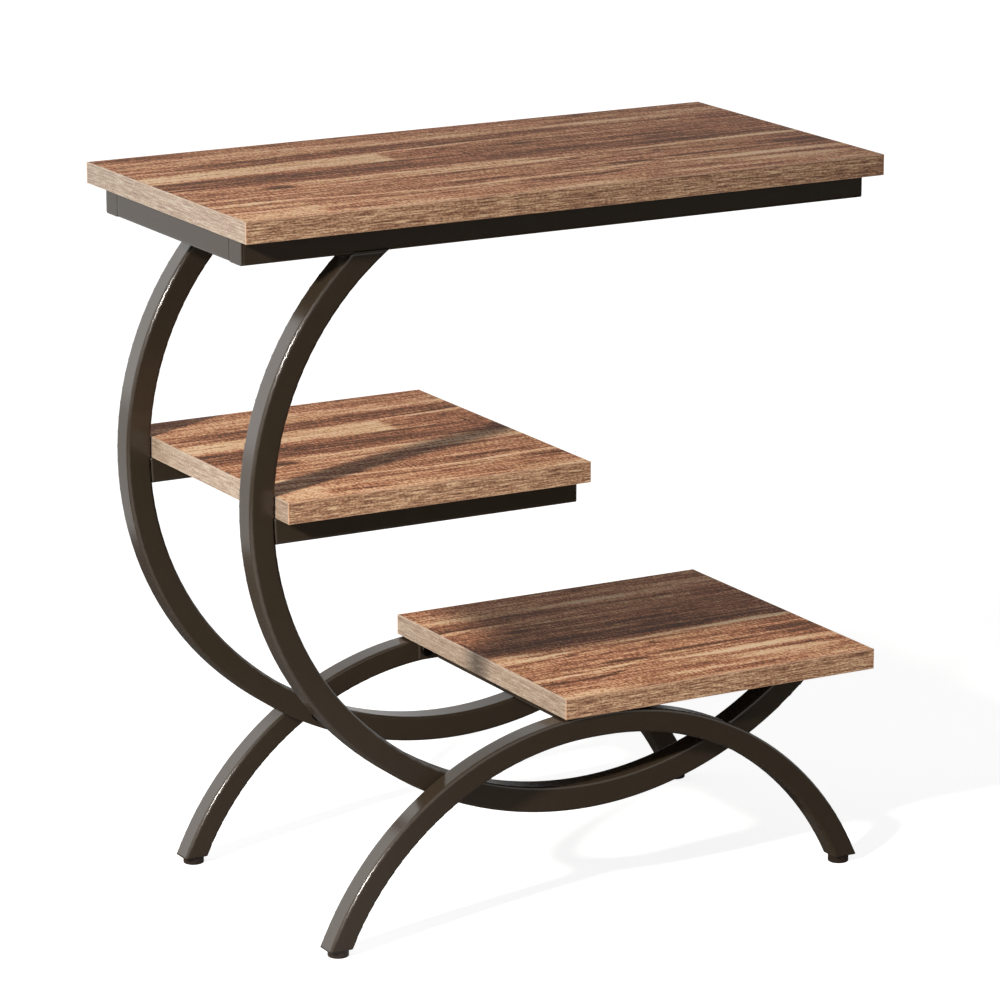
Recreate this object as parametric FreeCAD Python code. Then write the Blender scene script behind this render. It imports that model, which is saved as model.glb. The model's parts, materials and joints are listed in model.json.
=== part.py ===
import FreeCAD, Part
import math
import os

# Tiered side table: three walnut-faced boards on a welded upper frame of square tube, which
# stands through two curved bows on a pair of arched base tubes with levelling feet.
# X runs along the boards, Y from front to rear, Z up. The origin is on the floor, under the
# middle of the top board. All sizes are in millimetres.

os.makedirs("parts", exist_ok=True)
V = FreeCAD.Vector
X_AXIS = V(1, 0, 0)
Y_AXIS = V(0, 1, 0)
Z_AXIS = V(0, 0, 1)

# Boards
board_thickness = 18.0
board_width = 298.0
top_board_length = 600.0
middle_board_length = 280.0
lower_board_length = 308.0
edge_strip_thickness = 1.0
edge_strip_rounding = 0.6

# Heights of the three board surfaces above the floor
table_height = 626.5
middle_board_top = 395.0
lower_board_top = 192.5

# Square tube
frame_tube_side = 22.0
base_tube_side = 20.0
tube_wall = 1.2
tube_inner_radius = 0.8
end_plate_thickness = 1.2

# Upper frame; the base tubes stand outside it, this far in from the boards' front and rear edges
base_side_inset = 2.5
rail_end_inset = 7.0
beam_end_inset = 0.5
board_to_bow_clearance = 0.8

# Bows: two tangent arcs each, from the underside of the rails round to the lower board
bow_rail_inset = 4.4
bow_floor_clearance = 85.4
bow_top_angle = 51.0
bow_join_angle = 45.3
bow_end_inset = 66.3
bow_tab_thickness = 3.0
bow_tab_length = 38.0
bow_tab_reach = 42.0

# Base arches and the crossbar between their crests
arch_radius = 267.4
arch_crest_length = 8.5
arch_centre_inset = 36.5
crossbar_plate_length = 57.0
crossbar_plate_height = 18.0
crossbar_plate_thickness = 3.0
crossbar_bolt_spacing = 41.0

# Levelling feet
foot_height = 7.0
foot_inset = 1.5
foot_stop_gap = 0.2
pad_diameter = 18.0
pad_edge_radius = 1.0
pad_sole_thickness = 2.0
stud_diameter = 6.0
stud_flange_diameter = 10.0
stud_flange_thickness = 2.0
stud_reach = 13.0
leg_plug_height = 15.0
running_clearance = 0.05

# Bolts, weld nuts and board screws
bolt_diameter = 6.0
bolt_hole_diameter = 6.5
bolt_head_diameter = 12.0
bolt_head_height = 3.2
bolt_head_edge = 1.2
bolt_socket_width = 4.0
bolt_socket_depth = 2.0
bolt_tip = 1.0
nut_width = 10.0
nut_thickness = 5.0
screw_diameter = 4.0
screw_length = 15.0
screw_head_diameter = 8.0
screw_head_height = 2.4
screw_access_diameter = 10.0
rail_screw_spacing = 220.0
beam_screw_inset = 45.0
crossbar_screw_spacing = 120.0
tab_screw_inset = 10.0

# How far a swept tube runs past the plane that trims it
trim_angle = 6.0

SIDES = {"front": -1, "rear": 1}
ENDS = {"left": -1, "right": 1}


# ---------------------------------------------------------------- places that follow from the sizes

top_board_bottom = table_height - board_thickness
middle_board_bottom = middle_board_top - board_thickness
lower_board_bottom = lower_board_top - board_thickness
rail_bottom = top_board_bottom - frame_tube_side
rail_end = top_board_length / 2 - rail_end_inset
frame_half_width = board_width / 2 - base_side_inset - base_tube_side
frame_inner_y = frame_half_width - frame_tube_side
frame_tube_y = frame_half_width - frame_tube_side / 2
arch_tube_y = frame_half_width + base_tube_side / 2
lower_board_right = top_board_length / 2
lower_board_left = lower_board_right - lower_board_length
tube_corner_radius = tube_inner_radius + tube_wall


def fitted_bow():
    """Centres and centreline radii of the bow's upper and lower arc.

    The bow touches a given leftmost line and lowest line, meets the rails at bow_top_angle,
    changes from the upper to the lower radius at bow_join_angle below the horizontal, and
    ends at bow_end_inset from the lower board's right edge.
    """
    half = frame_tube_side / 2
    left_x = -rail_end + bow_rail_inset + half
    low_z = bow_floor_clearance + half
    end_x = lower_board_right - bow_end_inset
    end_rise = lower_board_bottom - bow_tab_thickness - low_z
    join_sin = math.sin(math.radians(bow_join_angle))
    join_cos = math.cos(math.radians(bow_join_angle))
    sines = math.sin(math.radians(bow_top_angle)) + join_sin
    # upper radius = radius_at_zero - radius_slope * lower radius
    radius_at_zero = (rail_bottom - low_z) / sines
    radius_slope = (1 - join_sin) / sines
    # x of the lower centre = centre_at_zero + centre_slope * lower radius
    centre_at_zero = left_x + radius_at_zero * (1 - join_cos)
    centre_slope = join_cos - radius_slope * (1 - join_cos)
    reach = end_x - centre_at_zero
    half_linear = centre_slope * reach + end_rise
    root = math.sqrt(half_linear ** 2 - centre_slope ** 2 * (reach ** 2 + end_rise ** 2))
    lower_radius = (half_linear - root) / centre_slope ** 2
    upper_radius = radius_at_zero - radius_slope * lower_radius
    lower_centre = V(centre_at_zero + centre_slope * lower_radius, 0, low_z + lower_radius)
    step = lower_radius - upper_radius
    upper_centre = lower_centre - V(step * join_cos, 0, step * join_sin)
    return upper_centre, upper_radius, lower_centre, lower_radius


bow_upper_centre, bow_upper_radius, bow_lower_centre, bow_lower_radius = fitted_bow()

arch_middle_x = lower_board_left + arch_centre_inset
arch_centre_z = lower_board_bottom - base_tube_side / 2 - arch_radius


def bow_inner_x(z):
    """X of the bow's inner face on the left side at height z."""
    inner = bow_upper_radius - frame_tube_side / 2
    return bow_upper_centre.x - math.sqrt(inner ** 2 - (z - bow_upper_centre.z) ** 2)


bow_limit_x = max(bow_inner_x(middle_board_bottom), bow_inner_x(middle_board_top))
middle_board_left = bow_limit_x + board_to_bow_clearance
middle_board_right = middle_board_left + middle_board_length
beam_bottom = middle_board_bottom - frame_tube_side
beam_right = middle_board_right - beam_end_inset


def arch_centre(end):
    """Centre of the arch's arc on the left (-1) or right (+1) side."""
    return V(arch_middle_x + end * arch_crest_length / 2, 0, arch_centre_z)


def leg_x(end, z):
    """X of the arch's centreline on one side at height z."""
    return arch_centre(end).x + end * math.sqrt(arch_radius ** 2 - (z - arch_centre_z) ** 2)


def crossing_point(end):
    """Where the centrelines of a bow and of the arch beside it cross."""
    a = bow_lower_centre
    b = arch_centre(end)
    gap = b - a
    distance = gap.Length
    along = (bow_lower_radius ** 2 - arch_radius ** 2 + distance ** 2) / (2 * distance)
    aside = math.sqrt(bow_lower_radius ** 2 - along ** 2)
    unit = gap / distance
    foot = a + unit * along
    normal = V(unit.z, 0, -unit.x)
    meets = [foot + normal * aside, foot - normal * aside]
    return sorted(meets, key=lambda point: end * point.x)[-1]


def foot_x(end):
    return leg_x(end, foot_height) - end * foot_inset


# ---------------------------------------------------------------- shape helpers

def box(x0, x1, y0, y1, z0, z1):
    return Part.makeBox(x1 - x0, y1 - y0, z1 - z0, V(x0, y0, z0))


def cylinder(radius, start, direction, length):
    return Part.makeCylinder(radius, length, start, direction)


def rounded_square(centre, across, up, side, radius):
    """Closed wire of a square with rounded corners in the plane of across and up."""
    flat = side / 2 - radius
    corners = [(1, -1), (1, 1), (-1, 1), (-1, -1)]
    edges = []
    for index, (a, u) in enumerate(corners):
        pivot = centre + across * (a * flat) + up * (u * flat)
        first = across * (a * radius)
        second = up * (u * radius)
        if index % 2 == 0:
            first, second = second, first
        middle = (across * a + up * u) * (radius * math.sqrt(0.5))
        edges.append(Part.Arc(pivot + first, pivot + middle, pivot + second).toShape())
        next_a, next_u = corners[(index + 1) % 4]
        next_pivot = centre + across * (next_a * flat) + up * (next_u * flat)
        edges.append(Part.LineSegment(pivot + second, next_pivot + second).toShape())
    return Part.Wire(edges)


def tube_section(centre, across, up, side):
    outer = rounded_square(centre, across, up, side, tube_corner_radius)
    inner = rounded_square(centre, across, up, side - 2 * tube_wall, tube_inner_radius)
    return Part.Face(outer).cut(Part.Face(inner)).Faces[0]


def straight_tube(start, direction, length, side):
    """Square tube along X or Y, from the centre of its first end."""
    across = Z_AXIS.cross(direction)
    return tube_section(start, across, Z_AXIS, side).extrude(direction * length)


def end_plate(centre, direction):
    """Thin plate that closes a frame tube, with the tube's own rounded outline."""
    across = Z_AXIS.cross(direction)
    outline = rounded_square(centre, across, Z_AXIS, frame_tube_side, tube_corner_radius)
    return Part.Face(outline).extrude(direction * end_plate_thickness)


def swept_arc(section_maker, centre, radius, start, end, y):
    """Revolve a section about a centre in the XZ plane; angles in degrees from +X towards +Z."""
    angle = math.radians(start)
    outward = V(math.cos(angle), 0, math.sin(angle))
    section = section_maker(centre + outward * radius + V(0, y, 0), outward)
    axis = -Y_AXIS if end > start else Y_AXIS
    return section.revolve(centre + V(0, y, 0), axis, abs(end - start))


def arc_tube(centre, radius, start, end, y, side):
    def section(middle, outward):
        return tube_section(middle, outward, Y_AXIS, side)
    return swept_arc(section, centre, radius, start, end, y)


def facing(shape, base, direction):
    """Stand a shape that was drawn along +Z at base, pointing in direction."""
    shape.Placement = FreeCAD.Placement(base, FreeCAD.Rotation(Z_AXIS, direction))
    return shape


def hexagon(width, height, start_z):
    corner = width / math.sqrt(3)
    points = [V(corner * math.cos(math.radians(60 * i)), corner * math.sin(math.radians(60 * i)), start_z)
              for i in range(6)]
    return Part.Face(Part.makePolygon(points + points[:1])).extrude(Z_AXIS * height)


def export(name, pieces):
    shape = pieces if isinstance(pieces, Part.Shape) else Part.makeCompound(pieces)
    shape.exportStep("parts/" + name + ".step")


# ---------------------------------------------------------------- fasteners

def bolt(length):
    """Button-head bolt along +Z with its head seated at z = 0."""
    head = cylinder(bolt_head_diameter / 2, V(0, 0, -bolt_head_height), Z_AXIS, bolt_head_height)
    rim = [edge for edge in head.Edges if abs(edge.BoundBox.ZMax + bolt_head_height) < 1e-6]
    head = head.makeFillet(bolt_head_edge, rim)
    shank = cylinder(bolt_diameter / 2, V(0, 0, 0), Z_AXIS, length)
    socket = hexagon(bolt_socket_width, bolt_socket_depth, -bolt_head_height)
    return head.fuse(shank).removeSplitter().cut(socket)


def nut():
    """Hexagonal weld nut along +Z from z = 0."""
    return hexagon(nut_width, nut_thickness, 0).cut(
        cylinder(bolt_diameter / 2, V(0, 0, 0), Z_AXIS, nut_thickness))


def board_screw():
    """Pan-head screw along +Z with its head seated at z = 0."""
    head = cylinder(screw_head_diameter / 2, V(0, 0, -screw_head_height), Z_AXIS, screw_head_height)
    shank = cylinder(screw_diameter / 2, V(0, 0, 0), Z_AXIS, screw_length)
    return head.fuse(shank).removeSplitter()


def crossing_bolt_places():
    """Seat of each bolt on a bow's inner face, and the way its shank points."""
    places = []
    for side in SIDES.values():
        for end in ENDS.values():
            point = crossing_point(end)
            places.append((V(point.x, side * frame_inner_y, point.z), Y_AXIS * side))
    return places


def crossbar_bolt_z():
    return lower_board_bottom - base_tube_side / 2


def crossbar_bolt_places():
    """Seat of each bolt on a crossbar plate, and the way its shank points."""
    seat_y = frame_half_width - crossbar_plate_thickness
    places = []
    for side in SIDES.values():
        for end in ENDS.values():
            x = arch_middle_x + end * crossbar_bolt_spacing / 2
            places.append((V(x, side * seat_y, crossbar_bolt_z()), Y_AXIS * side))
    return places


def top_screw_places():
    """Seat of each top board screw, under the upper wall of a long rail."""
    z = top_board_bottom - tube_wall
    return [V(step * rail_screw_spacing, side * frame_tube_y, z)
            for side in SIDES.values() for step in (-1, 0, 1)]


def middle_screw_places():
    z = middle_board_bottom - tube_wall
    columns = (middle_board_left + beam_screw_inset, middle_board_right - beam_screw_inset)
    return [V(x, side * frame_tube_y, z) for side in SIDES.values() for x in columns]


def crossbar_screw_places():
    z = lower_board_bottom - tube_wall
    return [V(arch_middle_x, side * crossbar_screw_spacing / 2, z) for side in SIDES.values()]


def tab_screw_places():
    x = lower_board_right - bow_end_inset
    y = frame_half_width - bow_tab_reach + tab_screw_inset
    return [V(x, side * y, lower_board_bottom - bow_tab_thickness) for side in SIDES.values()]


def screw_holes(places):
    """Pilot holes that the screws fill."""
    return [cylinder(screw_diameter / 2, place, Z_AXIS, screw_length) for place in places]


def drilled_for_screws(tube, places, side):
    """A tube with each screw's hole in its upper wall and access hole in its lower wall."""
    for hole in screw_holes(places):
        tube = tube.cut(hole)
    for place in places:
        start = place - V(0, 0, side - tube_wall)
        tube = tube.cut(cylinder(screw_access_diameter / 2, start, Z_AXIS, 2 * tube_wall))
    return tube


def drilled_for_bolts(tube, places, reach):
    """A tube or plate with clearance holes for bolts, through all that lies within reach."""
    for seat, direction in places:
        tube = tube.cut(cylinder(bolt_hole_diameter / 2, seat, direction, reach))
    return tube


# ---------------------------------------------------------------- boards

def board_core(left, right, bottom, places):
    """Panel of one board inside its edge strips, with the screws' pilot holes."""
    inset = edge_strip_thickness
    half = board_width / 2 - inset
    core = box(left + inset, right - inset, -half, half, bottom, bottom + board_thickness)
    for hole in screw_holes(places):
        core = core.cut(hole)
    return core


def edge_strip(start, direction, length, outward):
    """Strip glued to a board's edge: square at the core, rounded at its outer edges."""
    radius = edge_strip_rounding
    flat = edge_strip_thickness - radius
    bend = radius * math.sqrt(0.5)
    top = board_thickness

    def at(out, up):
        return start + outward * out + Z_AXIS * up

    lower_arc = Part.Arc(at(flat, 0), at(flat + bend, radius - bend), at(edge_strip_thickness, radius))
    upper_arc = Part.Arc(at(edge_strip_thickness, top - radius), at(flat + bend, top - radius + bend),
                         at(flat, top))
    edges = [Part.LineSegment(at(0, 0), at(flat, 0)),
             lower_arc,
             Part.LineSegment(at(edge_strip_thickness, radius), at(edge_strip_thickness, top - radius)),
             upper_arc,
             Part.LineSegment(at(flat, top), at(0, top)),
             Part.LineSegment(at(0, top), at(0, 0))]
    outline = Part.Wire([edge.toShape() for edge in edges])
    return Part.Face(outline).extrude(direction * length)


def export_board(name, left, right, bottom, places):
    """One board: core, long strips over its full length, short strips between them."""
    half = board_width / 2 - edge_strip_thickness
    export(name + "_board", board_core(left, right, bottom, places))
    for side_name, side in SIDES.items():
        strip = edge_strip(V(left, side * half, bottom), X_AXIS, right - left, Y_AXIS * side)
        export(name + "_board_" + side_name + "_edge", strip)
    for end_name, end in ENDS.items():
        x = left + edge_strip_thickness if end < 0 else right - edge_strip_thickness
        strip = edge_strip(V(x, -half, bottom), Y_AXIS, 2 * half, X_AXIS * end)
        export(name + "_board_" + end_name + "_edge", strip)


# ---------------------------------------------------------------- upper frame

def top_rail(side):
    """Long rail under the top board, between its two end plates."""
    start = V(-rail_end + end_plate_thickness, side * frame_tube_y, rail_bottom + frame_tube_side / 2)
    rail = straight_tube(start, X_AXIS, 2 * (rail_end - end_plate_thickness), frame_tube_side)
    mine = [place for place in top_screw_places() if place.y * side > 0]
    return drilled_for_screws(rail, mine, frame_tube_side)


def rail_end_plate(side, end):
    x = end * (rail_end - end_plate_thickness)
    return end_plate(V(x, side * frame_tube_y, rail_bottom + frame_tube_side / 2), X_AXIS * end)


def end_rail(end):
    """Short rail that closes the top frame between the two long rails."""
    x = end * (rail_end - frame_tube_side / 2)
    start = V(x, -frame_inner_y, rail_bottom + frame_tube_side / 2)
    return straight_tube(start, Y_AXIS, 2 * frame_inner_y, frame_tube_side)


def bow(side):
    """C-shaped tube: hangs from the long rail, sweeps round on the left, ends under the lower board."""
    y = side * frame_tube_y
    join = 180 + bow_join_angle
    upper = arc_tube(bow_upper_centre, bow_upper_radius, join,
                     180 - bow_top_angle - trim_angle, y, frame_tube_side)
    end_z = lower_board_bottom - bow_tab_thickness
    end_angle = math.degrees(math.asin((bow_lower_centre.z - end_z) / bow_lower_radius))
    lower = arc_tube(bow_lower_centre, bow_lower_radius, join,
                     360 - end_angle + trim_angle, y, frame_tube_side)
    tube = upper.fuse(lower).removeSplitter()
    reach = table_height
    above_rail = box(-reach, reach, -reach, reach, rail_bottom, rail_bottom + reach)
    above_tab = box(bow_lower_centre.x, reach, -reach, reach, end_z, rail_bottom)
    tube = tube.cut(above_rail).cut(above_tab)
    return drilled_for_bolts(tube, crossing_bolt_places(), frame_tube_side)


def bow_tab(side):
    """Plate welded on the bow's lower end, screwed to the lower board."""
    x = lower_board_right - bow_end_inset
    outer = frame_half_width
    inner = frame_half_width - bow_tab_reach
    y0, y1 = sorted((side * inner, side * outer))
    tab = box(x - bow_tab_length / 2, x + bow_tab_length / 2, y0, y1,
              lower_board_bottom - bow_tab_thickness, lower_board_bottom)
    for hole in screw_holes(tab_screw_places()):
        tab = tab.cut(hole)
    return tab


def shelf_beam(side):
    """Straight beam from the bow's inner face to the free end of the middle board."""
    z = beam_bottom + frame_tube_side / 2
    left = bow_upper_centre.x - bow_upper_radius
    start = V(left, side * frame_tube_y, z)
    beam = straight_tube(start, X_AXIS, beam_right - end_plate_thickness - left, frame_tube_side)
    reach = bow_upper_radius + middle_board_length
    inside_bow = cylinder(bow_upper_radius - frame_tube_side / 2,
                          bow_upper_centre - V(0, board_width, 0), Y_AXIS, 2 * board_width)
    right_of_bow = box(bow_upper_centre.x, bow_upper_centre.x + reach, -board_width, board_width,
                       beam_bottom, middle_board_bottom)
    beam = beam.common(inside_bow.fuse(right_of_bow)).removeSplitter()
    mine = [place for place in middle_screw_places() if place.y * side > 0]
    return drilled_for_screws(beam, mine, frame_tube_side)


def beam_end_plate(side):
    z = beam_bottom + frame_tube_side / 2
    return end_plate(V(beam_right - end_plate_thickness, side * frame_tube_y, z), X_AXIS)


def shelf_crossbar():
    """Tube that ties the free ends of the two shelf beams."""
    x = beam_right - frame_tube_side / 2
    start = V(x, -frame_inner_y, beam_bottom + frame_tube_side / 2)
    return straight_tube(start, Y_AXIS, 2 * frame_inner_y, frame_tube_side)


# ---------------------------------------------------------------- base

def arch(side):
    """Base tube: two arcs with a short level crest, cut level above the feet."""
    y = side * arch_tube_y
    cut_angle = math.degrees(math.asin((foot_height - arch_centre_z) / arch_radius))
    crest_start = arch_centre(-1) + V(0, y, arch_radius)
    tube = straight_tube(crest_start, X_AXIS, arch_crest_length, base_tube_side)
    for end in ENDS.values():
        last = cut_angle - trim_angle if end > 0 else 180 - cut_angle + trim_angle
        tube = tube.fuse(arc_tube(arch_centre(end), arch_radius, 90, last, y, base_tube_side))
    tube = tube.removeSplitter()
    reach = table_height
    tube = tube.cut(box(-reach, reach, -reach, reach, -reach, foot_height))
    wall_reach = frame_tube_side + tube_wall + bolt_tip
    tube = drilled_for_bolts(tube, crossing_bolt_places(), wall_reach)
    return drilled_for_bolts(tube, crossbar_bolt_places(), crossbar_plate_thickness + tube_wall + bolt_tip)


def leg_plug(side, end):
    """Moulded insert in the open end of a leg, with the thread for its foot."""
    y = side * arch_tube_y
    inside = base_tube_side - 2 * tube_wall
    top_angle = math.degrees(math.asin((foot_height + leg_plug_height - arch_centre_z) / arch_radius))
    cut_angle = math.degrees(math.asin((foot_height - arch_centre_z) / arch_radius))
    start = top_angle if end > 0 else 180 - top_angle
    last = cut_angle - trim_angle if end > 0 else 180 - cut_angle + trim_angle

    def section(middle, outward):
        return Part.Face(rounded_square(middle, outward, Y_AXIS, inside, tube_inner_radius))

    plug = swept_arc(section, arch_centre(end), arch_radius, start, last, y)
    reach = table_height
    plug = plug.cut(box(-reach, reach, -reach, reach, -reach, foot_height))
    thread = cylinder(stud_diameter / 2 + running_clearance, V(foot_x(end), y, 0), Z_AXIS, reach)
    return plug.cut(thread)


def crossbar_plate(side):
    """Plate welded on the crossbar's end and bolted to the arch's inner face."""
    inner = frame_half_width - crossbar_plate_thickness
    y0, y1 = sorted((side * inner, side * frame_half_width))
    z = crossbar_bolt_z()
    half_length = crossbar_plate_length / 2
    half_height = crossbar_plate_height / 2
    plate = box(arch_middle_x - half_length, arch_middle_x + half_length, y0, y1,
                z - half_height, z + half_height)
    return drilled_for_bolts(plate, crossbar_bolt_places(), crossbar_plate_thickness)


def base_crossbar():
    """Tube between the crests of the two arches, under the lower board."""
    half = frame_half_width - crossbar_plate_thickness
    start = V(arch_middle_x, -half, crossbar_bolt_z())
    tube = straight_tube(start, Y_AXIS, 2 * half, base_tube_side)
    return drilled_for_screws(tube, crossbar_screw_places(), base_tube_side)


def foot_pad(side, end):
    """Round pad that stands on the floor, moulded around the stud's flange."""
    base = V(foot_x(end), side * arch_tube_y, 0)
    height = foot_height - foot_stop_gap
    pad = cylinder(pad_diameter / 2, base, Z_AXIS, height)
    rim = [edge for edge in pad.Edges if edge.BoundBox.ZMax < pad_sole_thickness]
    pad = pad.makeFillet(pad_edge_radius, rim)
    socket_bottom = pad_sole_thickness - running_clearance
    socket_height = stud_flange_thickness + 2 * running_clearance
    socket = cylinder(stud_flange_diameter / 2 + running_clearance,
                      base + V(0, 0, socket_bottom), Z_AXIS, socket_height)
    neck = cylinder(stud_diameter / 2 + running_clearance,
                    base + V(0, 0, pad_sole_thickness), Z_AXIS, height)
    return pad.cut(socket.fuse(neck))


def foot_stud(side, end):
    """Threaded stud with the flange that turns in the pad."""
    base = V(foot_x(end), side * arch_tube_y, pad_sole_thickness)
    flange = cylinder(stud_flange_diameter / 2, base, Z_AXIS, stud_flange_thickness)
    rod_length = foot_height + stud_reach - pad_sole_thickness
    rod = cylinder(stud_diameter / 2, base, Z_AXIS, rod_length)
    return flange.fuse(rod).removeSplitter()


# ---------------------------------------------------------------- build

def export_fasteners():
    through_bow = frame_tube_side + tube_wall + nut_thickness + bolt_tip
    through_plate = crossbar_plate_thickness + tube_wall + nut_thickness + bolt_tip
    crossing = crossing_bolt_places()
    crossbar = crossbar_bolt_places()
    export("crossing_bolts", [facing(bolt(through_bow), seat, way) for seat, way in crossing])
    export("crossing_nuts", [facing(nut(), seat + way * (frame_tube_side + tube_wall), way)
                             for seat, way in crossing])
    export("crossbar_bolts", [facing(bolt(through_plate), seat, way) for seat, way in crossbar])
    export("crossbar_nuts", [facing(nut(), seat + way * (crossbar_plate_thickness + tube_wall), way)
                             for seat, way in crossbar])
    export("top_board_screws", [facing(board_screw(), place, Z_AXIS) for place in top_screw_places()])
    export("middle_board_screws", [facing(board_screw(), place, Z_AXIS) for place in middle_screw_places()])
    lower_places = crossbar_screw_places() + tab_screw_places()
    export("lower_board_screws", [facing(board_screw(), place, Z_AXIS) for place in lower_places])


def export_frame():
    for side_name, side in SIDES.items():
        export(side_name + "_top_rail", top_rail(side))
        export(side_name + "_bow", bow(side))
        export(side_name + "_bow_tab", bow_tab(side))
        export(side_name + "_shelf_beam", shelf_beam(side))
        export(side_name + "_shelf_beam_end_plate", beam_end_plate(side))
        for end_name, end in ENDS.items():
            export(side_name + "_" + end_name + "_rail_end_plate", rail_end_plate(side, end))
    for end_name, end in ENDS.items():
        export(end_name + "_end_rail", end_rail(end))
    export("shelf_crossbar", shelf_crossbar())


def export_base():
    export("base_crossbar", base_crossbar())
    for side_name, side in SIDES.items():
        export(side_name + "_arch", arch(side))
        export(side_name + "_crossbar_plate", crossbar_plate(side))
        for end_name, end in ENDS.items():
            corner = side_name + "_" + end_name
            export(corner + "_leg_plug", leg_plug(side, end))
            export(corner + "_foot_pad", foot_pad(side, end))
            export(corner + "_foot_stud", foot_stud(side, end))


export_board("top", -top_board_length / 2, top_board_length / 2, top_board_bottom, top_screw_places())
export_board("middle", middle_board_left, middle_board_right, middle_board_bottom, middle_screw_places())
export_board("lower", lower_board_left, lower_board_right, lower_board_bottom,
             crossbar_screw_places() + tab_screw_places())
export_frame()
export_base()
export_fasteners()
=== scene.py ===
# %% [markdown]
# # A tiered side table
# The table is a frame of square steel tube with three boards on it. The frame and the boards come from
# the CAD model, so this lesson is about the light, the finishes and a few small pieces that a drawing
# leaves out. Everything is in metres, with the floor at z = 0 and the front of the table towards -Y.

# %% Load the frame
import json
import math

import bmesh
import bpy
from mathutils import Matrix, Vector


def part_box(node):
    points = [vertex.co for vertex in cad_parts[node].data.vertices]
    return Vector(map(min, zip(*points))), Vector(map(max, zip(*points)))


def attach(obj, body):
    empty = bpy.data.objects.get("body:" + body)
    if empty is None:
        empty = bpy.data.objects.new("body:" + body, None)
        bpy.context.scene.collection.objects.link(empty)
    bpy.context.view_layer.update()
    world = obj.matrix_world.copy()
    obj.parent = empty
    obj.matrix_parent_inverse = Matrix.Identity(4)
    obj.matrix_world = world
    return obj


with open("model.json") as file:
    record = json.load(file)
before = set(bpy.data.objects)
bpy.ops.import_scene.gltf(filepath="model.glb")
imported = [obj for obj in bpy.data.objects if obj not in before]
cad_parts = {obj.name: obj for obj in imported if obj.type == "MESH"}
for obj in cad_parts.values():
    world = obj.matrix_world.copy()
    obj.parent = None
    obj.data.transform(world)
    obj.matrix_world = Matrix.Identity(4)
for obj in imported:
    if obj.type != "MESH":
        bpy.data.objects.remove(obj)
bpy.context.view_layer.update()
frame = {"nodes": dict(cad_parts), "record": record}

# %% [markdown]
# ## The camera
# A product picture of furniture is taken with a long lens from a few metres away, so that the edges stay
# nearly parallel. The camera stands to the left of the front and a little above the top board. Its
# place is given by the point that it looks at, two angles and a distance.

# %% Place the camera
MM = 0.001
LOOK_AT = Vector((12.44, 0.0, 328.46)) * MM
CAMERA_TURN = math.radians(-29.4357)
CAMERA_RISE = math.radians(14.5915)
CAMERA_DISTANCE = 4089.24 * MM
SENSOR_WIDTH_IN_MM = 36.0
LENS_IN_MM = 172.026
VIEW_END = 100.0

camera_data = bpy.data.cameras.new("camera")
camera_data.sensor_width = SENSOR_WIDTH_IN_MM
camera_data.lens = LENS_IN_MM
camera_data.clip_end = VIEW_END
camera = bpy.data.objects.new("camera", camera_data)
bpy.context.scene.collection.objects.link(camera)
bpy.context.scene.camera = camera

towards_camera = Vector((math.sin(CAMERA_TURN) * math.cos(CAMERA_RISE),
                         -math.cos(CAMERA_TURN) * math.cos(CAMERA_RISE),
                         math.sin(CAMERA_RISE)))
camera.location = LOOK_AT + towards_camera * CAMERA_DISTANCE
camera.rotation_euler = (math.pi / 2 - CAMERA_RISE, 0.0, CAMERA_TURN)
print("camera at", tuple(round(value, 3) for value in camera.location))

# %% [markdown]
# ## Three helpers
# Every material in this lesson is a small network of nodes, so three helpers come first. `linear` turns a
# colour that is written as a hex code into the linear numbers that the shader needs. `add_node` adds a
# node with its settings and links in one line. An input is given by its name, or by its number where
# several have the same name. It is linked if its value is a socket of another node, and otherwise gets
# the plain value. `new_material` starts an empty material.

# %% Colour and node helpers
def linear(hex_code):
    """Turns an sRGB hex code into linear red, green, blue and alpha."""
    parts = [int(hex_code[start:start + 2], 16) / 255 for start in (1, 3, 5)]
    curve = [part / 12.92 if part <= 0.04045 else ((part + 0.055) / 1.055) ** 2.4 for part in parts]
    return (*curve, 1.0)


def add_node(tree, kind, inputs=None, **settings):
    """Adds a node, sets its properties, and fills or links its inputs."""
    node = tree.nodes.new(kind)
    for name, value in settings.items():
        setattr(node, name, value)
    for socket, value in (inputs or {}).items():
        if isinstance(value, bpy.types.NodeSocket):
            tree.links.new(value, node.inputs[socket])
        else:
            node.inputs[socket].default_value = value
    return node


def new_material(name):
    """Starts an empty material and gives back the material, its node tree and its output node."""
    material = bpy.data.materials.new(name)
    material.use_nodes = True
    tree = material.node_tree
    tree.nodes.clear()
    return material, tree, add_node(tree, "ShaderNodeOutputMaterial")


WHITE = linear("#FFFFFF")
print("white is", WHITE[:3])

# %% [markdown]
# ## The studio floor
# The table stands on a sheet of white paper. One flat square is enough for it, so large that its end is
# far away.

# %% Make the floor
FLOOR_HALF_WIDTH = 30.0
floor_mesh = bmesh.new()
bmesh.ops.create_grid(floor_mesh, x_segments=1, y_segments=1, size=FLOOR_HALF_WIDTH)
floor_data = bpy.data.meshes.new("studio_floor")
floor_mesh.to_mesh(floor_data)
floor_mesh.free()
floor = bpy.data.objects.new("studio_floor", floor_data)
bpy.context.scene.collection.objects.link(floor)
print("floor is", FLOOR_HALF_WIDTH * 2, "m wide")

# %% [markdown]
# ## White paper that still takes a shadow
# Real paper turns grey as it falls away from the lamps, so a studio lights the paper from behind. Here the
# paper glows for the camera, which makes it white, and the rest of its brightness comes from the lamps, so
# the table still drops a shadow on it. Shiny surfaces see the glow too, but only in part. A Light Path
# node tells what kind of ray has met the paper, and `background_rays` reads it: is the ray mirrored or sent
# on by something clear, and is it one of those or a ray from the camera? Each answer is 0 or 1.

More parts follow.
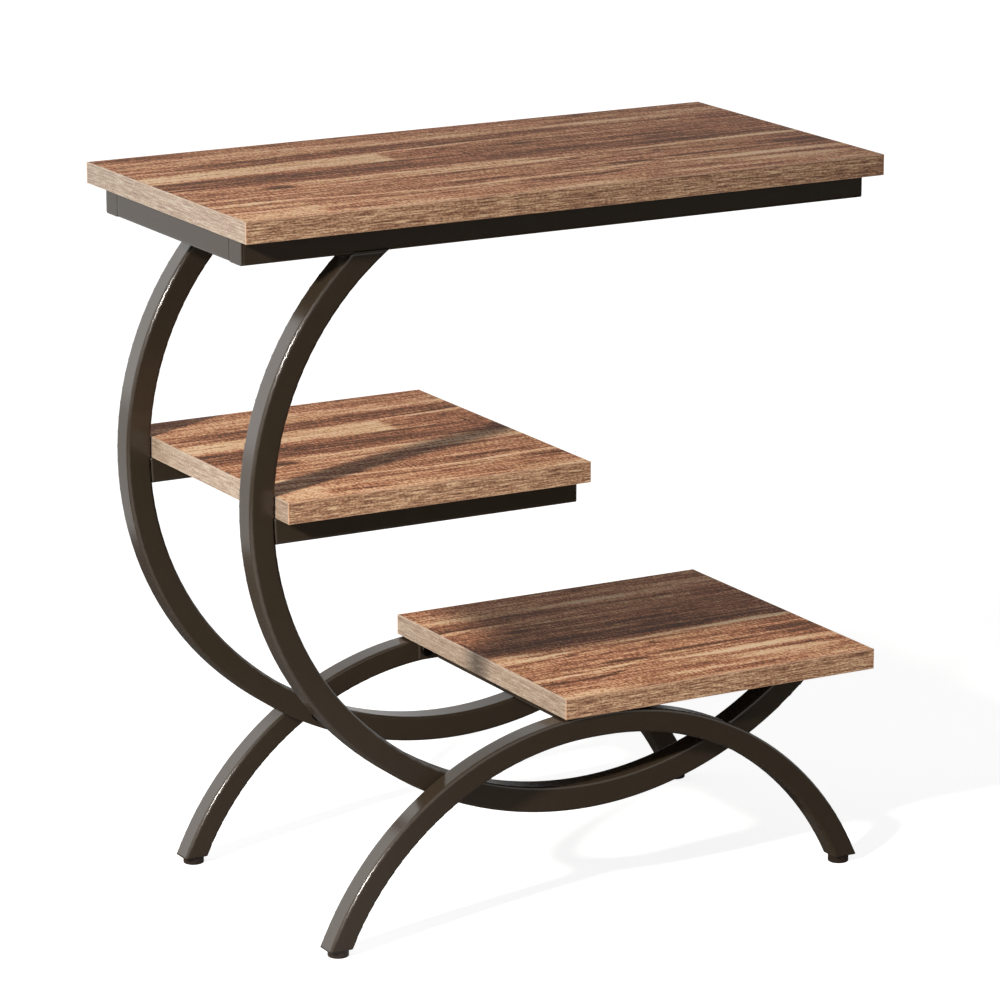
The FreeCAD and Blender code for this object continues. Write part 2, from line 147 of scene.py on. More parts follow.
# %% Start the paper and tell the rays apart
def background_rays(tree):
    """Gives the rays that mirror or pass through something, and all rays that may see the background."""
    ray = add_node(tree, "ShaderNodeLightPath")
    mirrored = add_node(tree, "ShaderNodeMath", {0: ray.outputs["Is Glossy Ray"],
                                                 1: ray.outputs["Is Transmission Ray"]}, operation="MAXIMUM")
    seen = add_node(tree, "ShaderNodeMath", {0: mirrored.outputs[0], 1: ray.outputs["Is Camera Ray"]},
                    operation="MAXIMUM")
    return mirrored.outputs[0], seen.outputs[0]


paper, tree, output = new_material("white_studio_paper")
place = add_node(tree, "ShaderNodeTexCoord")
mirrored, seen = background_rays(tree)
print("paper starts with", len(tree.nodes), "nodes")

# %% [markdown]
# The lamps stand on the left, so the shadow lies on the right, and only there the glow is held back enough
# to show it. Away from that patch the glow grows to full white.

# %% Glow for the camera
NEAR_GLOW = 0.83
SHADOW_AREA_MIDDLE = (0.30, 0.15, 0.0)
SHADOW_AREA_RADIUS = 0.45
FULL_GLOW_RADIUS = 1.05
from_shadow = add_node(tree, "ShaderNodeVectorMath", {0: place.outputs["Object"], 1: SHADOW_AREA_MIDDLE},
                       operation="DISTANCE")
camera_glow = add_node(tree, "ShaderNodeMapRange", {0: from_shadow.outputs["Value"], 1: SHADOW_AREA_RADIUS,
                                                    2: FULL_GLOW_RADIUS, 3: NEAR_GLOW, 4: 1.0},
                       interpolation_type="SMOOTHSTEP")
print("the camera sees a glow of", NEAR_GLOW, "at the shadow and 1.0 around it")

# %% [markdown]
# Shiny surfaces see the glow from a few metres away on, where the paper is lit from behind, and in a pool
# of light on the left, on the key lamp's side. The rounded corners of the tubes mirror that pool as a thin
# bright line. Elsewhere there is no glow for them.

# %% Glow for shiny surfaces
LIT_PAPER_START = 5.0
LIT_PAPER_END = 8.0
POOL_MIDDLE = (-1.25, -0.75, 0.0)
POOL_GLOW = 0.9
POOL_CORE = 0.7
POOL_RADIUS = 1.5
distance = add_node(tree, "ShaderNodeVectorMath", {0: place.outputs["Object"]}, operation="LENGTH")
far_glow = add_node(tree, "ShaderNodeMapRange", {0: distance.outputs["Value"], 1: LIT_PAPER_START,
                                                 2: LIT_PAPER_END, 3: 0.0, 4: 1.0})
from_pool = add_node(tree, "ShaderNodeVectorMath", {0: place.outputs["Object"], 1: POOL_MIDDLE},
                     operation="DISTANCE")
pool_glow = add_node(tree, "ShaderNodeMapRange", {0: from_pool.outputs["Value"], 1: POOL_CORE, 2: POOL_RADIUS,
                                                  3: POOL_GLOW, 4: 0.0}, interpolation_type="SMOOTHSTEP")
mirrored_glow = add_node(tree, "ShaderNodeMath", {0: far_glow.outputs[0], 1: pool_glow.outputs[0]},
                         operation="MAXIMUM")
print("the pool of light is", POOL_RADIUS * 2, "m wide")

# %% [markdown]
# The rest of the paper's brightness comes from the lamps: a fair share for the camera, and a small one for
# mirrored rays, which keeps the lower faces of the tubes dark. Light that bounces off the floor comes from
# plain pale paper. Its fibres are much finer on real paper, and are drawn about a millimetre apart.

# %% Mix the paper
LIT_SHARE = 0.55
MIRRORED_LIT_SHARE = 0.1
FLOOR_PAPER = "#E6E4E2"
FLOOR_FIBRE = "#EAE8E6"
FIBRES_PER_METRE = 900.0
glow_level = add_node(tree, "ShaderNodeMix", {0: mirrored, 2: camera_glow.outputs[0],
                                              3: mirrored_glow.outputs[0]})
glow = add_node(tree, "ShaderNodeEmission", {"Color": WHITE, "Strength": glow_level.outputs[0]})
lit_level = add_node(tree, "ShaderNodeMix", {0: mirrored, 2: LIT_SHARE, 3: MIRRORED_LIT_SHARE})
lit = add_node(tree, "ShaderNodeBsdfDiffuse", {"Color": lit_level.outputs[0]})
lit_and_glow = add_node(tree, "ShaderNodeAddShader", {0: glow.outputs[0], 1: lit.outputs[0]})
fibre = add_node(tree, "ShaderNodeTexNoise", {"Vector": place.outputs["Object"], "Scale": FIBRES_PER_METRE,
                                              "Detail": 2.0})
fibre_colour = add_node(tree, "ShaderNodeMix", {0: fibre.outputs["Fac"], 6: linear(FLOOR_PAPER),
                                                7: linear(FLOOR_FIBRE)}, data_type="RGBA")
bounce = add_node(tree, "ShaderNodeBsdfDiffuse", {"Color": fibre_colour.outputs[2]})
mixed = add_node(tree, "ShaderNodeMixShader", {0: seen, 1: bounce.outputs[0], 2: lit_and_glow.outputs[0]})
tree.links.new(mixed.outputs[0], output.inputs["Surface"])
floor_data.materials.append(paper)
print("finished paper:", len(tree.nodes), "nodes")

# %% [markdown]
# ## The lamps
# One small bright lamp stands nearly 4 m away, to the left and a little in front, about 30 degrees above
# the floor. It gives the crisp shadows of the bows on the shelves. Its beam is aimed low, at the floor
# just left of the table, so its soft upper edge crosses the table and the top board gets less light than
# the shelves. This is called feathering: a high surface near the lamp doesn't burn out.
#
# A white softbox stands on the floor behind the table, to the left, just outside the picture. The left
# faces of the tubes mirror it, which turns them from dark bronze to grey.

# %% Hang the lamps
KEY_PLACE = Vector((-3156.0, -1406.0, 2189.0)) * MM
KEY_BEAM_TURN = math.radians(24.0)
KEY_BEAM_DROP = math.radians(37.0)
KEY_BEAM_ANGLE = math.radians(36.0)
KEY_SIZE = 0.14
KEY_WATTS = 930.0
KEY_WHITE = "#FFF8F0"
SOFTBOX_MIDDLE = Vector((-0.90, 0.72, 0.62))
SOFTBOX_SIZE = (1.3, 1.2)
SOFTBOX_BEAM = Vector((0.0, -1.0, 0.0))
SOFTBOX_WATTS = 4.3


def add_lamp(name, kind, place, beam, watts, **settings):
    """Adds a lamp that shines along the beam direction."""
    lamp_data = bpy.data.lights.new(name, kind)
    lamp_data.energy = watts
    for setting, value in settings.items():
        setattr(lamp_data, setting, value)
    lamp = bpy.data.objects.new(name, lamp_data)
    lamp.location = place
    lamp.rotation_euler = beam.to_track_quat("-Z", "Y").to_euler()
    bpy.context.scene.collection.objects.link(lamp)


key_beam = Vector((math.cos(KEY_BEAM_DROP) * math.cos(KEY_BEAM_TURN),
                   math.cos(KEY_BEAM_DROP) * math.sin(KEY_BEAM_TURN), -math.sin(KEY_BEAM_DROP)))
add_lamp("key_lamp", "SPOT", KEY_PLACE, key_beam, KEY_WATTS, color=linear(KEY_WHITE)[:3],
         shadow_soft_size=KEY_SIZE, spot_size=KEY_BEAM_ANGLE, spot_blend=1.0)
add_lamp("left_rear_softbox", "AREA", SOFTBOX_MIDDLE, SOFTBOX_BEAM, SOFTBOX_WATTS,
         shape="RECTANGLE", size=SOFTBOX_SIZE[0], size_y=SOFTBOX_SIZE[1])
print("key lamp is", round((KEY_PLACE - LOOK_AT).length, 2), "m away")

# %% [markdown]
# ## The room
# The room lights the rest, and here the world stands for it: pale walls, and a ceiling that is darker,
# because no lamp points at it. That is the light it gives to dull surfaces. Its level changes with the
# direction, where 0 is the horizon and 1 is straight up. Seen directly, or in something shiny or clear,
# the world is as white as the paper, so no grey strip shows above the floor's end.

# %% Light the room
WALL_LEVEL = 0.37
CEILING_LEVEL = 0.17
WALL_TOP = 0.1
CEILING_START = 0.9

studio = bpy.data.worlds.new("studio_room")
studio.use_nodes = True
studio.node_tree.nodes.clear()
tree = studio.node_tree
direction = add_node(tree, "ShaderNodeTexCoord")
height = add_node(tree, "ShaderNodeSeparateXYZ", {0: direction.outputs["Generated"]})
level = add_node(tree, "ShaderNodeMapRange", {0: height.outputs["Z"], 1: WALL_TOP, 2: CEILING_START,
                                              3: WALL_LEVEL, 4: CEILING_LEVEL},
                 interpolation_type="SMOOTHSTEP")
mirrored, seen = background_rays(tree)
shown = add_node(tree, "ShaderNodeMix", {0: seen, 2: level.outputs[0], 3: 1.0})
walls = add_node(tree, "ShaderNodeBackground", {"Color": WHITE, "Strength": shown.outputs[0]})
add_node(tree, "ShaderNodeOutputWorld", {"Surface": walls.outputs[0]})
bpy.context.scene.world = studio
bpy.context.scene.view_settings.view_transform = "Standard"
print("walls at", WALL_LEVEL, "and ceiling at", CEILING_LEVEL)

# %% [markdown]
# ## Walnut plank laminate
# The boards are particle board with a printed decor paper pressed on, sealed in melamine. The print
# shows planks of mixed walnut running along the board, each a few centimetres wide, with lighter
# sapwood streaks, a knot and a few dark marks. All three boards carry the same print at the same place,
# as if they were cut from one sheet that hangs over the table, so the pattern is read from the place
# on the table, in millimetres, and not from each board.
#
# A painter would first lay the tone of every plank, then draw the streaks, and then comb fine grain
# over everything. The network does the same. It carries one number, the tone, from 0 for dark heartwood
# to 1 for pale sapwood. Each plank or streak adds to it or takes from it. Only at the end does a colour
# ramp turn the tone into brown.

# %% Start the walnut material and its wavering coordinates
# The print is flat, so z is dropped.
TO_MM = (1000.0, 1000.0, 0.0)
NOISE_MIDDLE = (0.5, 0.5, 0.5)
walnut, tree, output = new_material("walnut_plank_laminate")
place = add_node(tree, "ShaderNodeTexCoord")
in_mm = add_node(tree, "ShaderNodeVectorMath", {0: place.outputs["Object"], 1: TO_MM}, operation="MULTIPLY")

# Printed grain never runs quite straight: slow waves bend it by a few millimetres, quick ones by one.
WAVES = [((150.0, 34.0), 6.0), ((38.0, 7.0), 2.4)]
wavering = in_mm.outputs[0]
for (wave_length, wave_width), sway in WAVES:
    stretched = add_node(tree, "ShaderNodeMapping", {"Vector": in_mm.outputs[0],
                                                     "Scale": (1 / wave_length, 1 / wave_width, 1.0)})
    wave = add_node(tree, "ShaderNodeTexNoise", {"Vector": stretched.outputs[0], "Scale": 1.0, "Detail": 2.0},
                    noise_dimensions="2D")
    centred = add_node(tree, "ShaderNodeVectorMath", {0: wave.outputs["Color"], 1: NOISE_MIDDLE},
                       operation="SUBTRACT")
    swayed = add_node(tree, "ShaderNodeVectorMath",
                      {0: centred.outputs[0], 1: (sway, sway, 0.0), 2: wavering}, operation="MULTIPLY_ADD")
    wavering = swayed.outputs[0]
print("walnut starts with", len(tree.nodes), "nodes")

# %% [markdown]
# A plank is a long rectangle with soft sides. A streak is a slim lens that fades towards both ends. Both
# are laid by a mapping of the texture kind, which moves, turns and shrinks the coordinates until the
# shape is one unit large. A plank uses a Mapping node. A streak uses the mapping that is built into a
# Gradient texture, whose ball is 1 in its middle and 0 at its outline. There are dozens of streaks, and
# the render engine can only remember some 250 numbers while it works through a material. This way a
# streak costs one number and not three. `lay_plank` and `lay_streak` are given the place of the middle,
# the half length and half width in millimetres, how much tone the shape adds, and how far it is turned.
# A plank also has the softness of its sides, and of its ends in millimetres. A streak is spread a little
# past its size, because its outline has no tone, and it is at full tone in the core of the lens.

# %% Planks and streaks
LENS_SPREAD = 1.15
LENS_CORE = 0.78


def lay_plank(tree, tone, middle, half_size, amount, turn=0.0, soft=0.3, end_fade=40.0):
    """Adds a rectangle with soft sides to the tone. Its ends fade over a length of their own."""
    local = add_node(tree, "ShaderNodeMapping",
                     {"Vector": wavering, "Location": (*middle, 0.0),
                      "Rotation": (0.0, 0.0, math.radians(turn)), "Scale": (*half_size, 1.0)},
                     vector_type="TEXTURE")
    outward = add_node(tree, "ShaderNodeVectorMath", {0: local.outputs[0]}, operation="ABSOLUTE")
    end_soft = end_fade / half_size[0]
    inside = add_node(tree, "ShaderNodeMapRange",
                      {6: outward.outputs[0], 7: (1.0 + end_soft, 1.0 + soft, 1.0),
                       8: (1.0 - end_soft, 1.0 - soft, 0.0), 9: (0.0, 0.0, 0.0), 10: (amount, 1.0, 1.0)},
                      data_type="FLOAT_VECTOR", interpolation_type="SMOOTHSTEP")
    sides = add_node(tree, "ShaderNodeSeparateXYZ", {0: inside.outputs[1]})
    total = add_node(tree, "ShaderNodeMath", {0: sides.outputs[0], 1: sides.outputs[1], 2: tone},
                     operation="MULTIPLY_ADD")
    return total.outputs[0]


def lay_streak(tree, tone, middle, half_size, amount, turn=0.0):
    """Adds a slim lens to the tone, full in its core and fading to nothing at its outline."""
    lens = add_node(tree, "ShaderNodeTexGradient", {"Vector": wavering}, gradient_type="SPHERICAL")
    lens.texture_mapping.vector_type = "TEXTURE"
    lens.texture_mapping.translation = (*middle, 0.0)
    lens.texture_mapping.rotation = (0.0, 0.0, math.radians(turn))
    lens.texture_mapping.scale = (half_size[0] * LENS_SPREAD, half_size[1] * LENS_SPREAD, 1.0)
    inside = add_node(tree, "ShaderNodeMapRange", {0: lens.outputs["Fac"], 1: 0.0, 2: LENS_CORE, 3: 0.0,
                                                   4: amount}, interpolation_type="SMOOTHSTEP", clamp=False)
    total = add_node(tree, "ShaderNodeMath", {0: inside.outputs[0], 1: tone}, operation="ADD")
    return total.outputs[0]


# %% [markdown]
# The planks come first, from the rear edge of the top board to its front edge. A joiner would note them
# on a sheet in the same way: this plank is dark, it fades out here, the next one is honey coloured and
# ends square. Where two planks meet end to end, the glue joint is a short dark line.
#
# The places and sizes were judged, here and for the streaks that follow. So were the amounts of
# tone at first, and most of them were then changed after a least-squares fit, to its values or near them.

# %% Lay the planks
PLAIN_TONE = 0.485
tone = PLAIN_TONE

# Reddish strip along the rear edge, then a lighter one.
tone = lay_plank(tree, tone, (0, 140), (360, 11), -0.06, soft=0.4)
tone = lay_plank(tree, tone, (20, 112), (345, 13), 0.07, soft=0.6)
# Dark band that rises a little to the right, and the tan wood that follows it.
tone = lay_plank(tree, tone, (-60, 83), (185, 11), -0.24, turn=1.8, soft=0.35, end_fade=45)
# Honey coloured sapwood plank with a square end, and the reddish wood beyond it.
tone = lay_plank(tree, tone, (-190, 44.5), (119, 15.5), 0.30, turn=0.8, soft=0.16, end_fade=3.5)
tone = lay_plank(tree, tone, (150, 44), (225, 18), -0.14, soft=0.4, end_fade=6)
# Dark chocolate plank, which is lighter in the middle of the board.
tone = lay_plank(tree, tone, (-190, 8), (190, 18), -0.26, soft=0.2, end_fade=70)
tone = lay_plank(tree, tone, (190, 5), (190, 16), -0.19, soft=0.5, end_fade=60)
# Mottled sapwood beside the knot, the chestnut plank, and tan wood along the front edge.
tone = lay_plank(tree, tone, (-90, -26), (115, 9), 0.12, turn=-0.5, soft=0.6, end_fade=40)
tone = lay_plank(tree, tone, (0, -61), (360, 19), -0.04, soft=0.25)
tone = lay_plank(tree, tone, (0, -130), (360, 22), 0.03, soft=0.4)
tone = lay_plank(tree, tone, (-262, -127), (42, 15), 0.22, soft=0.4, end_fade=8)
# Glue joint.
tone = lay_plank(tree, tone, (-4.6, 25), (1.1, 13), -0.22, soft=0.2, end_fade=0.8)
print("with the planks:", len(tree.nodes), "nodes")

# %% [markdown]
# Streaks are drawn over the planks. The light ones are sapwood lines. They run mostly along the planks,
# and a few rise slightly to the right, because a tree isn't a cylinder. A long wavy line is a chain of
# streaks that overlap at their ends. Every line below holds the place, the half length and half width, the
# amount of tone and the turn of some streaks, from the rear edge of the board to the front edge.

# %% Lay the light streaks
LIGHT_STREAKS = [
    ((130, 129), (35, 4), 0.14, 0), ((-130, 117), (110, 6), 0.08, 0), ((-190, 104), (70, 4), 0.08, 0),
    ((200, 104), (110, 5), 0.20, 0), ((-20, 106), (150, 4), 0.20, 0), ((-52, 98), (30, 6), 0.16, 0),
    ((-240, 71), (80, 3), 0.18, 0.5), ((10, 71), (175, 4.5), 0.20, 3.5), ((85, 63), (95, 3.5), 0.16, 2),
    ((-205, 50), (110, 6), 0.06, 1), ((140, 38), (40, 6), 0.12, 0), ((-160, 20), (35, 9), 0.12, 0),
    ((30, 12), (45, 8), 0.12, 0), ((140, 20), (42, 7), 0.20, 0), ((-255, -25), (48, 7), 0.14, 0),
    ((-100, -21), (105, 4.5), 0.14, -1), ((0, -18), (68, 4), 0.24, 0), ((-15, -30), (90, 5), 0.18, 1),
    ((-110, -38.5), (95, 2.8), 0.26, 1), ((42, -30), (66, 3.6), 0.34, 8), ((165, -18), (105, 3.4), 0.30, 2.5),
    ((262, -15), (62, 6.5), 0.46, 2), ((-20, -50), (34, 3), 0.14, 0), ((20, -54), (14, 12), 0.12, 0),
    ((-230, -60), (60, 3), 0.18, 0), ((-252, -83), (52, 4), 0.38, -2), ((-190, -89), (44, 3.6), 0.34, -9),
    ((-118, -97), (66, 3.6), 0.40, -3), ((-42, -94.5), (62, 3.6), 0.36, 4), ((30, -92), (58, 3.4), 0.28, 4),
    ((84, -84), (38, 3.8), 0.28, 12), ((218, -90), (105, 7), 0.52, -0.4), ((-245, -101), (45, 4), 0.20, 0),
    ((225, -113), (85, 13), 0.26, 0), ((-210, -121), (18, 5), 0.25, 0), ((118, -130), (30, 5), 0.20, 0),
    ((-150, -141), (120, 5), 0.06, 0), ((8, -143), (85, 7), 0.25, 0),
]
for middle, half_size, amount, turn in LIGHT_STREAKS:
    tone = lay_streak(tree, tone, middle, half_size, amount, turn)
print(len(LIGHT_STREAKS), "light streaks")

# %% [markdown]
# The dark streaks take tone away: heartwood lines, small mineral marks and the knot, which is two lenses,
# one on the other, so that its middle is darker.

# %% Lay the dark streaks and marks
DARK_STREAKS = [
    ((-268, 139), (90, 12), -0.12, 0), ((-140, 139), (40, 6), -0.20, 0), ((168, 140), (16, 4), -0.30, 0),
    ((235, 91), (70, 4), -0.18, 0), ((275, 80), (45, 9), -0.20, 0), ((-40, 73.5), (90, 3.6), -0.24, 3),
    ((-200, 67), (115, 2.6), -0.20, 1.5), ((110, 51), (60, 5), -0.14, 0), ((55, 47), (17, 7), -0.22, 0),
    ((185, 37), (58, 11), -0.08, 2), ((-120, 35), (50, 4), -0.13, 0), ((-265, 20), (85, 6), -0.10, 0),
    ((-140, 3), (150, 3.4), -0.24, 0), ((215, -2), (115, 6), -0.20, 1), ((-175, -14), (120, 3.4), -0.22, -3),
    ((-211, -31), (22, 9), -0.40, 0), ((-208, -33), (11, 4.5), -0.40, 0), ((150, -27), (100, 3), -0.16, 4),
    ((30, -40), (55, 4), -0.20, 3), ((61, -37), (10, 3.2), -0.46, 8), ((142, -37), (6, 3.6), -0.46, 20),
    ((284, -56), (42, 25), -0.30, 0), ((250, -47), (42, 9), -0.14, 0), ((190, -66), (85, 4), -0.20, 0),
    ((97, -72), (33, 5.5), -0.48, -3), ((-45, -82), (60, 4.5), -0.24, 0), ((-235, -93), (60, 2.8), -0.14, -6),
    ((-130, -106), (140, 2.6), -0.18, 0), ((225, -101), (95, 2.8), -0.24, 0),
    ((5, -104.5), (43, 5), -0.38, -3), ((60, -104), (25, 4), -0.46, 20), ((42, -106), (18, 4), -0.24, 12),
    ((-99, -116), (15, 4), -0.30, 0), ((-20, -113), (60, 4), -0.24, 0), ((-182, -136), (32, 2.8), -0.24, -10),
    ((196, -136), (30, 4), -0.20, 0),
]
for middle, half_size, amount, turn in DARK_STREAKS:
    tone = lay_streak(tree, tone, middle, half_size, amount, turn)
print(len(DARK_STREAKS), "dark streaks")

# %% [markdown]
# Fine grain comes last, in four sizes. The coarse one is the width of a growth ring cut at a slant, the
# next ones are bundles of fibres, and the finest is short rows of pores. They are noise that is
# stretched along the board. The ripple across the grain is what the saw left behind. Noise rarely comes
# near 0 or 1, so its usual span is stretched to the full strength.

# %% Comb the grain over the planks
GRAINS = [((240.0, 7.0), 0.10), ((110.0, 3.6), 0.17), ((20.0, 2.2), 0.14), ((2.4, 2.4), 0.22)]
SAW_RIPPLE = ((2.6, 12.0), 0.11)
NOISE_LOW = 0.28
NOISE_HIGH = 0.72
for (grain_length, grain_width), strength in GRAINS + [SAW_RIPPLE]:
    stretched = add_node(tree, "ShaderNodeMapping", {"Vector": wavering,
                                                     "Scale": (1 / grain_length, 1 / grain_width, 1.0)})
    grain = add_node(tree, "ShaderNodeTexNoise",
                     {"Vector": stretched.outputs[0], "Scale": 1.0, "Detail": 2.0}, noise_dimensions="2D")
    spread = add_node(tree, "ShaderNodeMapRange", {0: grain.outputs["Fac"], 1: NOISE_LOW, 2: NOISE_HIGH,
                                                   3: -strength, 4: strength}, clamp=False)
    total = add_node(tree, "ShaderNodeMath", {0: tone, 1: spread.outputs[0]}, operation="ADD")
    tone = total.outputs[0]
print("with the grain:", len(tree.nodes), "nodes")

# %% [markdown]
# The ramp holds the browns of walnut, from heartwood to sapwood. Real walnut also wanders between red
# and yellow at the same tone, so a second ramp that is a little redder is mixed in by slow noise. A new
# ramp has two stops. `set_stops` makes them the first and the last one, and adds those between.

# %% Colour of the walnut
WALNUT_BROWNS = [(0.08, "#543A29"), (0.29, "#84573C"), (0.5, "#AB7755"), (0.67, "#D3A87B"),
                 (0.93, "#E7CBA2")]
REDDISH_BROWNS = [(0.08, "#543729"), (0.29, "#88543B"), (0.5, "#B57353"), (0.67, "#D9A27E"),
                  (0.93, "#E7C7A7")]
RED_PATCH_SIZE = (120.0, 22.0)


def set_stops(color_ramp, stops):
    """Gives a new colour ramp its stops, each a position and a hex code, in the order of position."""
    for element, (position, hex_code) in zip(color_ramp.elements, (stops[0], stops[-1])):
        element.position = position
        element.color = linear(hex_code)
    for position, hex_code in stops[1:-1]:
        element = color_ramp.elements.new(position)
        element.color = linear(hex_code)


browns = add_node(tree, "ShaderNodeValToRGB", {0: tone})
set_stops(browns.color_ramp, WALNUT_BROWNS)
reddish_browns = add_node(tree, "ShaderNodeValToRGB", {0: tone})
set_stops(reddish_browns.color_ramp, REDDISH_BROWNS)
wander = add_node(tree, "ShaderNodeMapping", {"Vector": in_mm.outputs[0],
                                              "Scale": (1 / RED_PATCH_SIZE[0], 1 / RED_PATCH_SIZE[1], 1.0)})
redness = add_node(tree, "ShaderNodeTexNoise", {"Vector": wander.outputs[0], "Scale": 1.0, "Detail": 1.0},
                   noise_dimensions="2D")
walnut_colour = add_node(tree, "ShaderNodeMix", {0: redness.outputs["Fac"], 6: browns.outputs[0],
                                                 7: reddish_browns.outputs[0]}, data_type="RGBA")
print("with the colours:", len(tree.nodes), "nodes")

# %% [markdown]
# Where the surface faces down, the board is coloured a plain dark brown with a faint mottle: painted
# shade on the undersides. The melamine seal makes the face satin: an index of refraction of 1.5, fairly
# rough, and less shiny than varnish. A small bump lets the pores catch the light.

# %% Painted underside shade, pores and gloss
UNDERSIDE_SHADE_BROWN = "#2B1F18"
UNDERSIDE_SHADE_MOTTLE = "#33261D"
FACES_DOWN = -0.5
PORE_SIZE = (14.0, 1.8)
PORE_BUMP_DISTANCE = 0.2 * MM
HEARTWOOD_ROUGHNESS = 0.58
SAPWOOD_ROUGHNESS = 0.48
surface = add_node(tree, "ShaderNodeNewGeometry")
facing = add_node(tree, "ShaderNodeSeparateXYZ", {0: surface.outputs["True Normal"]})
underside = add_node(tree, "ShaderNodeMath", {0: facing.outputs["Z"], 1: FACES_DOWN},
                     operation="LESS_THAN")
# Painted shade: where the board faces down it is coloured this dark brown.
painted_underside_shade = add_node(tree, "ShaderNodeMix", {0: redness.outputs["Fac"], 6: linear(UNDERSIDE_SHADE_BROWN),
                                        7: linear(UNDERSIDE_SHADE_MOTTLE)}, data_type="RGBA")
board_colour = add_node(tree, "ShaderNodeMix", {0: underside.outputs[0], 6: walnut_colour.outputs[2],
                                                7: painted_underside_shade.outputs[2]}, data_type="RGBA")
stretched = add_node(tree, "ShaderNodeMapping", {"Vector": in_mm.outputs[0],
                                                 "Scale": (1 / PORE_SIZE[0], 1 / PORE_SIZE[1], 1.0)})
pores = add_node(tree, "ShaderNodeTexNoise", {"Vector": stretched.outputs[0], "Scale": 1.0, "Detail": 2.0},
                 noise_dimensions="2D")
pore_bump = add_node(tree, "ShaderNodeBump", {"Height": pores.outputs["Fac"], "Strength": 0.25,
                                              "Distance": PORE_BUMP_DISTANCE})
walnut_gloss = add_node(tree, "ShaderNodeMapRange", {0: tone, 3: HEARTWOOD_ROUGHNESS,
                                                     4: SAPWOOD_ROUGHNESS})
walnut_face = add_node(tree, "ShaderNodeBsdfPrincipled",
                       {"Base Color": board_colour.outputs[2], "Roughness": walnut_gloss.outputs[0],
                        "IOR": 1.5, "Specular IOR Level": 0.04, "Normal": pore_bump.outputs[0]})
tree.links.new(walnut_face.outputs[0], output.inputs["Surface"])
print("finished walnut:", len(tree.nodes), "nodes")

# %% [markdown]
# ## Edge band
# The four narrow sides of each board are closed with a 1 mm plastic band with rounded corners. A light
# line is painted along those corners: a painted highlight. A Bevel node finds them: it rounds the surface
# direction near a corner, so where this differs from the direction of the flat side, the corner is about
# a millimetre away or less. The dot product of the two directions is 1 where they agree and falls
# towards the corner.

# %% Find the rounded corners of a band, for a painted highlight
CORNER_HIGHLIGHT_WIDTH = 1.1 * MM
FLAT_LIKENESS = 0.998
CORNER_HIGHLIGHT_LIKENESS = 0.97


def painted_corner_highlight(tree):
    """Gives 0 on the flat of a band and 1 on its rounded corners, where a highlight is painted."""
    surface = add_node(tree, "ShaderNodeNewGeometry")
    rounded = add_node(tree, "ShaderNodeBevel", {"Radius": CORNER_HIGHLIGHT_WIDTH}, samples=6)
    likeness = add_node(tree, "ShaderNodeVectorMath",
                        {0: rounded.outputs[0], 1: surface.outputs["True Normal"]}, operation="DOT_PRODUCT")
    highlighted = add_node(tree, "ShaderNodeMapRange", {0: likeness.outputs["Value"], 1: FLAT_LIKENESS,
                                                    2: CORNER_HIGHLIGHT_LIKENESS, 3: 0.0, 4: 1.0})
    return highlighted.outputs[0]


print("corners are scraped", round(CORNER_HIGHLIGHT_WIDTH / MM, 1), "mm wide")

# %% [markdown]
# The band carries its own print, paler than the faces: rows of light specks on fine broken lines. The
# bands of the short sides have a print with less contrast and greyer browns; the grey is a painted sheen
# for the pale reflection that the lamps leave on those sides. So the same steps are run twice with two
# sets of browns. The pattern needs one coordinate along the band and one up it. The sum of x and y runs
# along both the long and the short sides. Long shades, fine lines and short specks are laid over each
# other, each with a length, a width and a strength.

# %% Edge band materials
EDGE_PRINTS = [((90.0, 2.4), 0.20), ((16.0, 0.9), 0.38), ((2.6, 1.3), 0.24)]
MIDDLE_TONE = 0.5
PRINT_BUMP_DISTANCE = 0.1 * MM
LONG_SIDE_BROWNS = [(0.0, "#634433"), (0.35, "#916A50"), (0.65, "#B99171"), (1.0, "#DEC09C")]
# Greyer browns for the short sides: the grey is a painted sheen.
SHORT_SIDE_SHEEN_BROWNS = [(0.0, "#665348"), (0.35, "#8A7564"), (0.65, "#A69584"), (1.0, "#C4BFAC")]
edge_bands = {}
